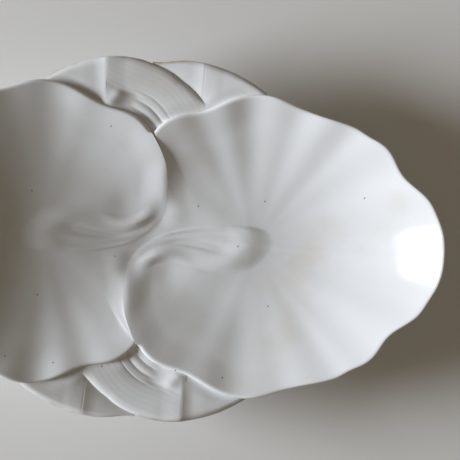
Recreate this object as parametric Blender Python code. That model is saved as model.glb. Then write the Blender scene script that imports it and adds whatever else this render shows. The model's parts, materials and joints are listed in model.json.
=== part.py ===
"""Twin-leaf appetizer dish: interlocking lily leaves, their stems, a folded ribbon border and a foot ring.

Lengths are in metres and angles in degrees. +Z is up, the dish stands on z = 0, and its long axis is X.
A half turn about Z maps the dish onto itself, so each piece is described once, for the right leaf or for
the back border (+Y), and a second object turns the same mesh to the other side.
"""

import functools
import math

import bmesh
import bpy
from mathutils import Vector
from mathutils.geometry import interpolate_bezier

# Clay
WALL = 0.0045  # thickness of the shell, square to its surface
LIP = 0.0018  # radius of the rounded edges
SEAM_GAP = 0.0003  # joint between two pieces

# Leaf outline, in polar form about the petiole point, where the stem meets the leaf
PETIOLE_OFFSET = 0.0436  # centre of the dish to that point
LEAF_RADIUS = 0.0593  # that point to the sides of the leaf
TIP_REACH = 0.0141  # how much further the tip lies
TIP_SPREAD = 24.5  # bearing over which the tip dies away
SCALLOP_DEPTH = 0.0013
SCALLOP_PITCH = 43.0
SCALLOP_SHIFT = 5.5  # widens the first scallop, at the tip
LOBE_SWELL = 0.0015  # swelling of the outline beside the border
LOBE_SWELL_BEARING = 127.0
LOBE_SWELL_SPREAD = 8.0
SINUS_START = 147.0  # bearing where the outline turns in towards the stem
SINUS_CURVE = 1.5

# Leaf surface
FOOT_HEIGHT = 0.0065  # underside of the middle of each leaf
CREST_HEIGHT = 0.0105  # where the leaves meet at the centre of the dish, without its dip
SIDE_HEIGHT = 0.0300  # rim over the long sides
TIP_HEIGHT = 0.0420  # rim at the leaf tips
RIM_CURVE = 1.25  # how the rim climbs from the centre outwards
BOWL_CURVE = 2.4  # how a leaf climbs from its middle to its tip and sides
SINUS_BOWL_CURVE = 1.5  # how it climbs towards its stem
SINUS_BOWL_START = 110.0  # bearings between which the one changes to the other
SINUS_BOWL_FULL = 160.0
WELL_TILT = 0.03  # slope of the middle of a leaf, down towards its tip
DIP = 0.0022  # how much lower the leaves lie at the centre of the dish
DIP_START = 0.0100  # distance from the Y axis where they begin to rise out of the dip
DIP_LENGTH = 0.0340
DIP_WIDTH = 0.0180  # distance from the X axis where the dip begins to fade
DIP_FADE = 0.0200
OVERLAP_START = 0.0085  # distance from the X axis where one leaf begins to lie over the other
SEAM_RISE = 0.0006  # how much higher the covering edge turns up there
SEAM_GROWTH = 0.40  # share of the overlap over which that grows
SEAM_DECAY = 0.55  # share of it over which that dies away again
SEAM_REACH = 5.0  # how closely the bend of the covered leaf keeps to the seam
SEAM_CORNER_REACH = 16.0  # the same at the corner where it goes under
SEAM_CORNER_SPREAD = 14.0
SEAM_FILLET = 0.0011  # height of the fillet against it
SEAM_FILLET_WIDTH = 0.0100
LOBE_RISE = 0.0008  # the edge of a lobe turns up by this
LOBE_RISE_WIDTH = 0.0085
LOBE_RISE_START = 70.0  # bearings between which it grows
LOBE_RISE_FULL = 100.0
LOBE_RISE_FROM = 0.0045  # distances from the X axis between which it grows
LOBE_RISE_TO = 0.0110
FLUTE_DEPTH = 0.0006
FLUTE_CALM = 0.45  # share of that depth on the leaf's calmer half
FLUTE_CURVE = 3.0  # how the flutes deepen outwards
FLUTE_PITCH = 21.0
FLUTE_FADE = 128.0  # bearing where the flutes begin to fade
FLUTE_END = 165.0

# Stems
STEM_END_REACH = 0.0090  # broad end of a stem past the petiole point
STEM_OFFSET = 0.0014  # its centre line from the X axis there
STEM_LEAD = 0.0264  # how far its line runs straight on from there
STEM_TURN = (0.0080, 0.0062)  # the line bends towards this point
STEM_TIP = (-0.0064, -0.0097)
STEM_BROAD_WIDTH = 0.0250
STEM_TIP_WIDTH = 0.0046
STEM_TAPER = 1.9
STEM_ROUND = 0.19  # share of the length that the rounding of the broad end takes
STEM_END_SHARE = 0.28  # share of the width that is left at that end
STEM_EDGE = 0.0004  # thickness where a stem runs out
STEM_HEIGHT = 0.0005  # ridges over that
STEM_SIDE = 0.5  # share of that height at the sides
STEM_SCOOP = 0.0004  # depth of the hollows between the ridges
STEM_RIDGE_COUNT = 2
STEM_SWELL = 0.0006  # how much higher the broad end is
STEM_SWELL_WIDTH = 0.0090
STEM_SCOOP_FADE = 0.0160  # length over which the hollows deepen from there
STEM_FALL = 0.0110  # length over which the broad end runs out
STEM_FOOT = 0.0025  # width over which the sides run out
STRAP_START = 0.38  # shares of the length between which the stem turns into a strap
STRAP_FULL = 0.72
STRAP_RUN_OUT = 0.10  # share of the length over which the strap runs out
STRAP_RIDGE = 0.0002
STRAP_LIP = 0.0017  # height of the turned-up lip beside the strap
STRAP_LIP_OFFSET = 0.0015
STRAP_LIP_SLOPE = 0.0080

# Ribbon border between the leaves, on each long side
BORDER_SPAN = 91.4  # bearing at which the border ends on each leaf
BORDER_BULGE = 0.0114  # how far the border stands out over the leaf edges
BORDER_CURVE = 2.8
BORDER_TIP_WIDTH = 0.0008
BORDER_DIP = 0.0019  # waist in the outer edge where the ribbon folds over
BORDER_DIP_WIDTH = 0.0090
BORDER_DROP = 0.0010  # ribbon surface below the leaf edges
RIM_ROLL = 0.0032  # width of the rolled rim
RIM_FALL = 0.0020
RIM_EDGE = 0.0010  # thickness at its edge
RIBBON_CROWN = 0.0005
CROWN_CURVE = 2.6
CROWN_CALM = 0.0050  # distance from the leaves over which the crown grows
CROWN_FADE = 0.35  # share of a ribbon's length over which it grows from a fold
FOLD_OFFSET = 0.0197  # the two folds lie this far from the centre line
TAIL_LIFT = 0.0007  # height of the first fold
TAIL_DROP = 0.0030  # how much lower the ribbon that ends there starts
TUCK_LIFT = 0.0006  # height of the second fold
FOLD_RAMP = 0.0065  # width of the rise to a fold
FOLD_FALL = 0.0065  # width of the fall past it
FOLD_SHARE = 0.3  # share of a fold's height beside the leaves
FOLD_SHARE_WIDTH = 0.0100
REED_WIDTH = 0.0095  # the reeded ribbon lies this wide along the left leaf
REED_COUNT = 3
REED_DEPTH = 0.0004
REED_START = 0.42  # share of the ribbon's length where the reeds start
REED_GROWTH = 0.15  # share over which they grow
REED_BUMP = 0.0008  # rise at the fold end of the reeded ribbon
REED_BUMP_PLACE = 0.10
REED_BUMP_SKEW = 0.20
REED_BUMP_LENGTH = 0.10
REED_HOLLOW = 0.0003  # hollow past the bump
REED_HOLLOW_PLACE = 0.44
REED_HOLLOW_LENGTH = 0.13
REED_DROP = 0.0003
REED_GROOVE = 0.0005  # how much lower the ribbon lies along the leaf
REED_SIDE = 0.35  # share of the ribbon's width over which that and the bump change
WRAP_OFFSET = 0.0221  # left leaf to the outer edge of the wrapped ribbon
WRAP_BEARING = 50.0  # bearing from the left leaf's petiole point where that begins to grow
WRAP_SPREAD = 0.00030  # its growth for each degree on from there
WRAP_ROLL = 0.0034  # width of the wrapped ribbon's rolled edge
WRAP_STEP = 0.0012  # height of that edge
WRAP_STEP_REACH = 0.0035  # how far the ribbon beside it is bent down
WRAP_STEP_FADE = 0.0060  # distance from the leaves over which the step grows

# Foot ring
FOOT_HALF_LENGTH = 0.0640
FOOT_HALF_WIDTH = 0.0320
FOOT_WALL = 0.0060  # thickness where it meets the leaves
FOOT_TREAD = 0.0036  # width of the flat that it stands on
FOOT_SQUARENESS = 1.5  # how far its section is from an oval
FOOT_JOINT = 0.0005  # joint between it and the leaves

# Facets
LEAF_COLUMNS = 80
LEAF_TOP_SHARES = (0.10, 0.22, 0.34, 0.46, 0.57, 0.67, 0.76, 0.84, 0.91, 0.96, 1.0)
LEAF_UNDER_SHARES = (1.0, 0.82, 0.62, 0.42, 0.20)
LIP_STEPS = (35.0, 65.0, 90.0)
UNDER_LIP_STEPS = (45.0, 90.0)
STEM_COLUMNS = 30
REED_ROWS = 4
FOOT_COLUMNS = 64
SMOOTH_ANGLE = 40.0

GLAZE_COLOUR = (0.80, 0.80, 0.785, 1.0)
BARE_CLAY_COLOUR = (0.72, 0.69, 0.63, 1.0)
WELL_FLOOR = FOOT_HEIGHT + WALL


def smooth_step(value):
    share = min(max(value, 0.0), 1.0)
    return share * share * (3.0 - 2.0 * share)


def roll(inset, width, height):
    """Fall of a rolled edge at this distance in from it."""
    share = min(max(inset / width, 0.0), 1.0)
    return height * (1.0 - math.sqrt(1.0 - (1.0 - share) ** 2))


def bisect(is_past, low, high):
    """The value between low and high where is_past turns from false to true."""
    for _ in range(40):
        middle = (low + high) / 2.0
        if is_past(middle):
            high = middle
        else:
            low = middle
    return low


# Leaf plan

def leaf_reach(bearing):
    """Distance from the petiole point to the leaf's own outline; bearing 0 points to the tip."""
    away = abs(bearing)
    tip = TIP_REACH * math.exp(-0.5 * (away / TIP_SPREAD) ** 2)
    turns = (math.hypot(away, SCALLOP_SHIFT) - SCALLOP_SHIFT) / SCALLOP_PITCH
    reach = LEAF_RADIUS + tip + SCALLOP_DEPTH * math.cos(2.0 * math.pi * turns)
    reach += LOBE_SWELL * math.exp(-(((away - LOBE_SWELL_BEARING) / LOBE_SWELL_SPREAD) ** 2))
    sinus = max(0.0, away - SINUS_START) / (180.0 - SINUS_START)
    seam = PETIOLE_OFFSET - SEAM_GAP / 2.0
    return reach + (seam - reach) * sinus ** SINUS_CURVE


def from_petiole(bearing, radius):
    """The point of the right leaf at this bearing and distance from its petiole point."""
    angle = math.radians(bearing)
    return PETIOLE_OFFSET + radius * math.cos(angle), radius * math.sin(angle)


def polar(x, y):
    along = x - PETIOLE_OFFSET
    return math.degrees(math.atan2(y, along)), math.hypot(along, y)


def in_right_leaf(x, y, margin=0.0):
    bearing, radius = polar(x, y)
    return radius < leaf_reach(bearing) + margin


def in_left_leaf(x, y, margin=0.0):
    return in_right_leaf(-x, -y, margin)


def under_left_leaf(bearing):
    """True where the left leaf's lobe lies over the edge of the right leaf."""
    return bearing > 0.0 and in_left_leaf(*from_petiole(bearing, leaf_reach(bearing)), SEAM_GAP)


@functools.cache
def visible_reach(bearing):
    """The right leaf's outline, cut back where the left leaf's lobe lies over it."""
    if not under_left_leaf(bearing):
        return leaf_reach(bearing)
    return bisect(
        lambda radius: in_left_leaf(*from_petiole(bearing, radius), SEAM_GAP), 0.0, leaf_reach(bearing)
    )


def apex_bearing():
    """Bearing, from the line between the petioles, of the point where the two outlines cross."""
    return bisect(
        lambda bearing: (leaf_reach(180.0 - bearing) + SEAM_GAP) * math.cos(math.radians(bearing))
        < PETIOLE_OFFSET,
        1.0,
        90.0,
    )


def column_bearing(bearing):
    """Moves an evenly spaced bearing so that a column meets the corner where the right leaf goes under the
    left one, and those past it are evenly spaced along the left leaf's lobe."""
    if abs(bearing - COVERED_FROM) < 180.0 / LEAF_COLUMNS:
        return COVERED_FROM
    if bearing < COVERED_FROM:
        return bearing
    corner_x, corner_y = from_petiole(COVERED_FROM, leaf_reach(COVERED_FROM))
    lobe_start = -polar(-corner_x, -corner_y)[0]
    lobe = 180.0 - (180.0 - lobe_start) * (180.0 - bearing) / (180.0 - COVERED_FROM)
    lobe_x, lobe_y = from_petiole(-lobe, leaf_reach(lobe) + SEAM_GAP)
    return polar(-lobe_x, -lobe_y)[0]


# Border plan

def lobe_point(bearing, offset):
    """Plan point this far outside the left leaf's edge, at a bearing from +X about its petiole point."""
    reach = leaf_reach(180.0 - bearing) + offset
    angle = math.radians(bearing)
    return Vector((reach * math.cos(angle) - PETIOLE_OFFSET, reach * math.sin(angle)))


def lobe_polar(point):
    """(bearing, distance outside the left leaf's edge) of a plan point."""
    bearing, radius = polar(-point.x, -point.y)
    return bearing % 360.0 - 180.0, radius - leaf_reach(bearing)


def border_inner(along):
    """Plan point on the leaf edges, a joint away from them; along runs from -1 to 1, and 0 is the apex."""
    bearing = APEX_BEARING + abs(along) * (BORDER_SPAN - APEX_BEARING)
    point = lobe_point(bearing, SEAM_GAP)
    return Vector((-point.x, point.y)) if along > 0.0 else point


def border_outer(along):
    """Plan point on the dish's long side."""
    x = BORDER_HALF_LENGTH * along
    bulge = BORDER_BULGE * (1.0 - abs(along) ** BORDER_CURVE)
    return Vector((x, BORDER_END_Y + bulge - BORDER_DIP * math.exp(-((x / BORDER_DIP_WIDTH) ** 2))))


def border_point(along, across):
    return border_inner(along).lerp(border_outer(along), across)


def rim_inset(point):
    """How far a plan point lies inside the dish's long side, measured along Y."""
    return border_outer(point.x / BORDER_HALF_LENGTH).y - point.y


def wrap_offset(bearing):
    """Left leaf to the outer edge of the wrapped ribbon."""
    return WRAP_OFFSET + WRAP_SPREAD * max(0.0, WRAP_BEARING - bearing)


def wrap_limit(bearing):
    """The same, or the distance to the rim where that is nearer."""
    to_rim = bisect(lambda offset: rim_inset(lobe_point(bearing, offset)) < 0.0, 0.0, 2.0 * WRAP_OFFSET)
    return min(to_rim, wrap_offset(bearing) - SEAM_GAP / 2.0)


@functools.cache
def wrap_edge(along):
    """Share of the border's width that lies inside the wrapped ribbon's outer edge."""
    def past_wrap(across):
        bearing, offset = lobe_polar(border_point(along, across))
        return offset > wrap_offset(bearing)

    return 0.0 if past_wrap(0.0) else bisect(past_wrap, 0.0, 1.0)


def right_of_fold(point):
    """Distance of a plan point to the right of the line on which the tail's fold ends."""
    foot = border_inner(-FOLD)
    up = (border_outer(-FOLD) - foot).normalized()
    return (point - foot).dot(Vector((up.y, -up.x)))


def leaf_distance(point):
    """How far a plan point lies outside the nearer leaf."""
    bearing, radius = polar(point.x, point.y)
    return max(0.0, min(lobe_polar(point)[1], radius - leaf_reach(bearing)))


COVERED_FROM = bisect(under_left_leaf, 90.0, 179.0)
APEX_BEARING = apex_bearing()
APEX_DISTANCE = PETIOLE_OFFSET * math.tan(math.radians(APEX_BEARING))
BORDER_HALF_LENGTH = -lobe_point(BORDER_SPAN, SEAM_GAP).x
BORDER_END_Y = lobe_point(BORDER_SPAN, SEAM_GAP).y + BORDER_TIP_WIDTH
FOLD = FOLD_OFFSET / BORDER_HALF_LENGTH
HALF_LENGTH = PETIOLE_OFFSET + leaf_reach(0.0)
HALF_WIDTH = BORDER_END_Y + BORDER_BULGE


# Heights

def rim_height(x, y):
    """Height of the leaf edges over a point of the plan: low at the centre, highest at the tips."""
    lengthwise = min((x / HALF_LENGTH) ** 2, 1.0)
    spread = math.sqrt(lengthwise + (y / HALF_WIDTH) ** 2)
    outer = SIDE_HEIGHT + (TIP_HEIGHT - SIDE_HEIGHT) * lengthwise
    return CREST_HEIGHT + (outer - CREST_HEIGHT) * spread ** RIM_CURVE


def from_overlap(y):
    """Share of the way from the start of the leaves' overlap to the apex."""
    return min(max((abs(y) - OVERLAP_START) / (APEX_DISTANCE - OVERLAP_START), 0.0), 1.0)


def edge_height(bearing):
    """Height of the right leaf's own edge, hidden or not."""
    return rim_height(*from_petiole(bearing, leaf_reach(bearing)))


def flute(bearing, share):
    """Waves that run from the petiole point to the edge."""
    fade = 1.0 - smooth_step((abs(bearing) - FLUTE_FADE) / (FLUTE_END - FLUTE_FADE))
    calm = FLUTE_CALM + (1.0 - FLUTE_CALM) * smooth_step(bearing / FLUTE_PITCH + 0.5)
    depth = FLUTE_DEPTH * calm * fade * share ** FLUTE_CURVE
    return depth * math.cos(2.0 * math.pi * bearing / FLUTE_PITCH)


def lobe_edge(y):
    """Height of the turned-up edge of a lobe, which grows away from the stems."""
    return LOBE_RISE * smooth_step((abs(y) - LOBE_RISE_FROM) / (LOBE_RISE_TO - LOBE_RISE_FROM))


def bowl_curve(bearing):
    """How a leaf climbs to its edge: late at the tip and sides, evenly towards the stem."""
    share = smooth_step((abs(bearing) - SINUS_BOWL_START) / (SINUS_BOWL_FULL - SINUS_BOWL_START))
    return BOWL_CURVE + (SINUS_BOWL_CURVE - BOWL_CURVE) * share


def middle_dip(x, y):
    """How much lower the right leaf lies towards the centre of the dish."""
    along = 1.0 - smooth_step((x - DIP_START) / DIP_LENGTH)
    across = 1.0 - smooth_step((abs(y) - DIP_WIDTH) / DIP_FADE)
    return DIP * along * across


def bowl_height(bearing, radius):
    """Height of the right leaf's bowl without its relief."""
    share = radius / leaf_reach(bearing)
    rise = edge_height(bearing) - WELL_FLOOR
    tilt = WELL_TILT * radius * math.cos(math.radians(bearing)) * (1.0 - share) ** 2
    dip = middle_dip(*from_petiole(bearing, radius))
    return WELL_FLOOR + rise * share ** bowl_curve(bearing) - tilt - dip


def seam_share(y):
    """Share of the full ridge at the seam: none beside the stems, nor where the outlines cross."""
    along = from_overlap(y)
    return smooth_step(along / SEAM_GROWTH) * smooth_step((1.0 - along) / SEAM_DECAY)


def seam_bend(bearing, radius):
    """Bend of the covered right leaf, which meets the left leaf's lobe at the seam."""
    seam = visible_reach(bearing)
    x, y = from_petiole(bearing, seam)
    lift = rim_height(x, y) - middle_dip(-x, -y) - bowl_height(bearing, seam)
    past_corner = smooth_step((bearing - COVERED_FROM) / SEAM_CORNER_SPREAD)
    reach = SEAM_CORNER_REACH + (SEAM_REACH - SEAM_CORNER_REACH) * past_corner
    return lift * (radius / seam) ** reach


def edge_relief(bearing, radius):
    """What stands on the leaf along its edge: a turned-up lobe, or a fillet against the other leaf's."""
    inset = visible_reach(bearing) - radius
    y = from_petiole(bearing, visible_reach(bearing))[1]
    turned_up = smooth_step(1.0 - inset / LOBE_RISE_WIDTH)
    if under_left_leaf(bearing):
        fillet = SEAM_FILLET * max(0.0, 1.0 - inset / SEAM_FILLET_WIDTH) ** 2
        return seam_share(y) * fillet + (1.0 - seam_share(y)) * lobe_edge(y) * turned_up
    growth = smooth_step((abs(bearing) - LOBE_RISE_START) / (LOBE_RISE_FULL - LOBE_RISE_START))
    height = growth * lobe_edge(y)
    if bearing < -COVERED_FROM:
        height += SEAM_RISE * seam_share(y)
    return height * turned_up


@functools.cache
def leaf_section(bearing, radius):
    """(inner surface height, underside height) of the right leaf at this bearing and distance."""
    reach = leaf_reach(bearing)
    share = radius / reach
    curve = bowl_curve(bearing)
    shell = bowl_height(bearing, radius) + flute(bearing, share)
    if under_left_leaf(bearing):
        shell += seam_bend(bearing, radius)
    slope = curve * (edge_height(bearing) - WELL_FLOOR) / reach * share ** (curve - 1.0)
    return shell + edge_relief(bearing, radius), shell - WALL * math.hypot(1.0, slope)


def clear_height(x, y):
    """Height under the leaves, each taken at its edge where the point lies just past it."""
    undersides = []
    for turn in (1.0, -1.0):
        bearing, radius = polar(turn * x, turn * y)
        reach = visible_reach(bearing)
        if radius < reach + FOOT_WALL:
            undersides.append(leaf_section(bearing, min(radius, reach))[1])
    return min(undersides)


def ribbon_height(point):
    return rim_height(point.x, point.y) - BORDER_DROP


# Mesh building

def place(name, mesh, material, collection, turned=False):
    """An object with this mesh, turned to the other side of the dish if asked."""
    obj = bpy.data.objects.new(name, mesh)
    if turned:
        obj.rotation_euler.z = math.pi
    collection.objects.link(obj)
    if not mesh.materials:
        mesh.materials.append(material)
    return obj


def mesh_from(name, bm):
    bmesh.ops.recalc_face_normals(bm, faces=bm.faces)
    mesh = bpy.data.meshes.new(name)
    bm.to_mesh(mesh)
    bm.free()
    mesh.shade_smooth()
    mesh.set_sharp_from_angle(angle=math.radians(SMOOTH_ANGLE))
    return mesh


def ceramic(name, colour, roughness):
    material = bpy.data.materials.new(name)
    material.use_nodes = True
    shader = material.node_tree.nodes["Principled BSDF"]
    shader.inputs["Base Color"].default_value = colour
    shader.inputs["Roughness"].default_value = roughness
    shader.inputs["Metallic"].default_value = 0.0
    return material


def slab(columns, rows, top, bottom):
    """A closed solid between two surfaces over the unit square, each given as a function of (s, t)."""
    bm = bmesh.new()
    bmesh.ops.create_grid(bm, x_segments=columns, y_segments=rows, size=0.5)
    made = bmesh.ops.extrude_face_region(bm, geom=bm.faces[:])
    lower = {v for v in made["geom"] if isinstance(v, bmesh.types.BMVert)}
    for vertex in bm.verts:
        s, t = vertex.co.x + 0.5, vertex.co.y + 0.5
        vertex.co = bottom(s, t) if vertex in lower else top(s, t)
    return bm


# Leaves

def leaf_rings():
    """The leaf from the middle of its inner face, over its lip, to the middle of its underside.

    Each ring is (share of the way to the lip, inset from the edge as a share of the lip, fall as a share
    of the lip, whether it lies on the underside).
    """
    def lip_ring(angle, under):
        turn = math.radians(angle)
        return 1.0, 1.0 - math.sin(turn), 1.0 - math.cos(turn), under

    rings = [(share, 1.0, 0.0, False) for share in LEAF_TOP_SHARES]
    rings += [lip_ring(angle, False) for angle in LIP_STEPS]
    rings += [lip_ring(angle, True) for angle in reversed(UNDER_LIP_STEPS)]
    rings += [(share, 1.0, 0.0, True) for share in LEAF_UNDER_SHARES]
    return rings


def leaf_solid():
    """A globe whose poles are the middle of the leaf and whose parallels become the rings above."""
    rings = leaf_rings()
    bm = bmesh.new()
    bmesh.ops.create_uvsphere(bm, u_segments=LEAF_COLUMNS, v_segments=len(rings) + 1, radius=1.0)
    for vertex in bm.verts:
        latitude = math.acos(min(max(vertex.co.z, -1.0), 1.0)) / math.pi
        index = round(latitude * (len(rings) + 1)) - 1
        bearing, radius, fall, under = 0.0, 0.0, 0.0, index > 0
        if 0 <= index < len(rings):
            bearing = column_bearing(math.degrees(math.atan2(vertex.co.y, vertex.co.x)))
            share, inset, fall, under = rings[index]
            reach = visible_reach(bearing)
            radius = share * (reach - LIP) if share < 1.0 else reach - LIP * inset
        top, underside = leaf_section(bearing, radius)
        height = underside + LIP * fall if under else top - LIP * fall
        vertex.co = (*from_petiole(bearing, radius), height)
    return bm


# Stems

def stem_line(count):
    """Centre line of the right stem, from its broad end to its tip, as plan points."""
    broad_end = Vector((PETIOLE_OFFSET + STEM_END_REACH, STEM_OFFSET, 0.0))
    lead = broad_end - Vector((STEM_LEAD, 0.0, 0.0))
    turn = Vector((*STEM_TURN, 0.0))
    tip = Vector((*STEM_TIP, 0.0))
    return [point.to_2d() for point in interpolate_bezier(broad_end, lead, turn, tip, count)]


def stem_width(s):
    """Width along the stem: a rounded broad end that tapers to the tip."""
    end = 1.0 - roll(s, STEM_ROUND, 1.0 - STEM_END_SHARE)
    return end * (STEM_TIP_WIDTH + (STEM_BROAD_WIDTH - STEM_TIP_WIDTH) * (1.0 - s) ** STEM_TAPER)


def fluted_section(width, past_end):
    """(distance from the upper edge, height) points across the broad stem, this far from its swollen end."""
    ridge = STEM_HEIGHT + STEM_SWELL * (1.0 - smooth_step(past_end / STEM_SWELL_WIDTH))
    hollow = ridge - STEM_SCOOP * smooth_step(past_end / STEM_SCOOP_FADE)
    heights = [STEM_SIDE * ridge, hollow, *STEM_RIDGE_COUNT * [ridge, hollow], STEM_SIDE * ridge]
    points = [(width * index / (len(heights) - 1), height) for index, height in enumerate(heights)]
    return [(-STEM_FOOT, 0.0), *points, (width + STEM_FOOT, 0.0)]


def strap_section(width, count):
    """As many points across the strap: a low back and the turned-up lip of the lobe."""
    lip = width + STRAP_LIP_OFFSET
    keys = [
        Vector((0.0, 0.0)),
        Vector((width / 2.0, STRAP_RIDGE)),
        Vector((lip, STRAP_LIP)),
        Vector((lip + STRAP_LIP_SLOPE, 0.0)),
    ]
    points = []
    for index in range(count):
        key = index * (len(keys) - 1) / (count - 1)
        near = min(int(key), len(keys) - 2)
        points.append(keys[near].lerp(keys[near + 1], key - near))
    return points


def stem_section(s, distance):
    """Points across the stem at the share s of its line, this far from its broad end."""
    width = stem_width(s)
    strap = smooth_step((s - STRAP_START) / (STRAP_FULL - STRAP_START))
    fluted = fluted_section(width, distance - STEM_FALL)
    points = [Vector(a).lerp(b, strap) for a, b in zip(fluted, strap_section(width, len(fluted)))]
    ends = smooth_step(distance / STEM_FALL) * smooth_step((1.0 - s) / STRAP_RUN_OUT)
    return [(place, height * ends) for place, height in points]


def stem_solid():
    """A stem lying on the right leaf, trimmed to what shows of it."""
    line = stem_line(STEM_COLUMNS + 1)

    def shows(point):
        bearing, radius = polar(point.x, point.y)
        return radius < visible_reach(bearing) - SEAM_GAP

    sections = []
    distance = 0.0
    for index, centre in enumerate(line):
        s = index / STEM_COLUMNS
        distance += (centre - line[max(index - 1, 0)]).length
        across = (line[min(index + 1, STEM_COLUMNS)] - line[max(index - 1, 0)]).orthogonal().normalized()
        upper = centre - across * stem_width(s) / 2.0
        points = stem_section(s, distance)
        first, last = points[0][0], points[-1][0]
        start = bisect(lambda inset: shows(upper + across * inset), first, stem_width(s) / 2.0)
        squeeze = (last - start) / (last - first)
        insets = [(last + (place - last) * squeeze, height) for place, height in points]
        sections.append([(upper + across * inset, height) for inset, height in insets])
    rows = len(sections[0]) - 1

    def seat(s, t):
        point, height = sections[round(s * STEM_COLUMNS)][round(t * rows)]
        bearing, radius = polar(*point)
        return point.to_3d() + Vector((0.0, 0.0, leaf_section(bearing, radius)[0] + SEAM_GAP)), height

    def crest(s, t):
        point, height = seat(s, t)
        return point + Vector((0.0, 0.0, STEM_EDGE + height))

    return slab(STEM_COLUMNS, rows, crest, lambda s, t: seat(s, t)[0])


# Border ribbons

def rim_fall(point):
    """Fall of the rolled rim along the dish's long side."""
    return roll(rim_inset(point), RIM_ROLL, RIM_FALL)


def ribbon_solid(columns, rows, plan, relief, start_drop=0.0, even_rows=False):
    """A ribbon over the plan patch, its surface standing by relief over the border's own surface."""
    def spaced(t):
        return t if even_rows else (1.0 - math.cos(math.pi * t)) / 2.0

    def over(point, s, height):
        return point.to_3d() + Vector((0.0, 0.0, ribbon_height(point) - start_drop * (1.0 - s) + height))

    def crest(s, t):
        point = plan(s, spaced(t))
        return over(point, s, relief(s, spaced(t), point))

    def under(s, t):
        point = plan(s, spaced(t))
        return over(point, s, roll(rim_inset(point), LIP, WALL - RIM_FALL - RIM_EDGE) - WALL)

    return slab(columns, rows, crest, under)


def border_patch(columns, start, stop, low, corner=None):
    """Plan of a ribbon that reaches the rim, from the share low of the border's width outwards."""
    joint = SEAM_GAP / 2.0
    trim = joint / BORDER_HALF_LENGTH
    first = start + trim if start > -1.0 else start
    last = stop - trim if stop < 1.0 else stop

    def plan(s, t):
        along = first + (last - first) * s
        if corner is not None and abs(along - corner) < 0.5 * (last - first) / columns:
            along = corner
        width = (border_outer(along) - border_inner(along)).length
        inner = low(along) + joint / width if low(along) > 0.0 else 0.0
        return border_point(along, inner + (1.0 - inner) * t)

    return plan


def lobe_patch(inner, outer):
    """Plan of a ribbon that follows the left leaf's edge, from the fold until it meets the right leaf."""
    def at(bearing, t):
        return lobe_point(bearing, inner + (outer(bearing) - inner) * t)

    @functools.cache
    def ends(t):
        start = bisect(lambda bearing: right_of_fold(at(bearing, t)) > SEAM_GAP / 2.0, BORDER_SPAN, 0.0)
        return start, bisect(lambda bearing: in_right_leaf(*at(bearing, t), SEAM_GAP), start, 0.0)

    def plan(s, t):
        start, stop = ends(t)
        return at(start + (stop - start) * s, t)

    return plan


def crown(t, point):
    """Rounded back of a ribbon, which flattens towards the leaves."""
    rise = RIBBON_CROWN * (1.0 - abs(2.0 * t - 1.0) ** CROWN_CURVE)
    return rise * smooth_step(leaf_distance(point) / CROWN_CALM)


def fold_share(point):
    """Share of a fold's height, which is least beside the leaves."""
    return FOLD_SHARE + (1.0 - FOLD_SHARE) * smooth_step(leaf_distance(point) / FOLD_SHARE_WIDTH)


def to_fold(inset, lift):
    """Rise of a ribbon towards the fold at its end."""
    return lift * (1.0 - smooth_step(inset / FOLD_RAMP))


def past_fold(distance, lift):
    """Fall of the next ribbon away from a fold."""
    return lift * (1.0 - smooth_step(distance / FOLD_FALL))


def wrap_step(point):
    """Height of the wrapped ribbon's edge, which dies away towards the leaves."""
    return WRAP_STEP * smooth_step(leaf_distance(point) / WRAP_STEP_FADE)


def tucked(point):
    """Fall of a ribbon beside the wrapped one, which lies over it."""
    bearing, offset = lobe_polar(point)
    return wrap_step(point) * math.exp(-max(0.0, offset - wrap_offset(bearing)) / WRAP_STEP_REACH)


def reeds(s, t):
    """A bump at the fold, a hollow, and then reeds along the leaf's edge."""
    by_leaf = 1.0 - smooth_step(t / REED_SIDE)
    by_wrap = 1.0 - smooth_step((1.0 - t) / REED_SIDE)
    bump = math.exp(-(((s - REED_BUMP_PLACE - REED_BUMP_SKEW * t) / REED_BUMP_LENGTH) ** 2))
    bump *= REED_BUMP * (1.0 - by_leaf) * (1.0 - by_wrap)
    hollow = REED_HOLLOW * math.exp(-(((s - REED_HOLLOW_PLACE) / REED_HOLLOW_LENGTH) ** 2))
    drop = (hollow + REED_DROP) * (1.0 - by_wrap) + REED_GROOVE * by_leaf
    wave = 0.5 - abs(math.cos(math.pi * REED_COUNT * t))
    return bump - drop - REED_DEPTH * wave * smooth_step((s - REED_START) / REED_GROWTH)


def tuck_start():
    """Where the ribbon between the wrap and the rim is as narrow as a border's tip."""
    def is_narrow(along):
        width = (border_outer(along) - border_inner(along)).length
        return (1.0 - wrap_edge(along)) * width < BORDER_TIP_WIDTH + SEAM_GAP

    return bisect(is_narrow, FOLD, -FOLD)


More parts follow.
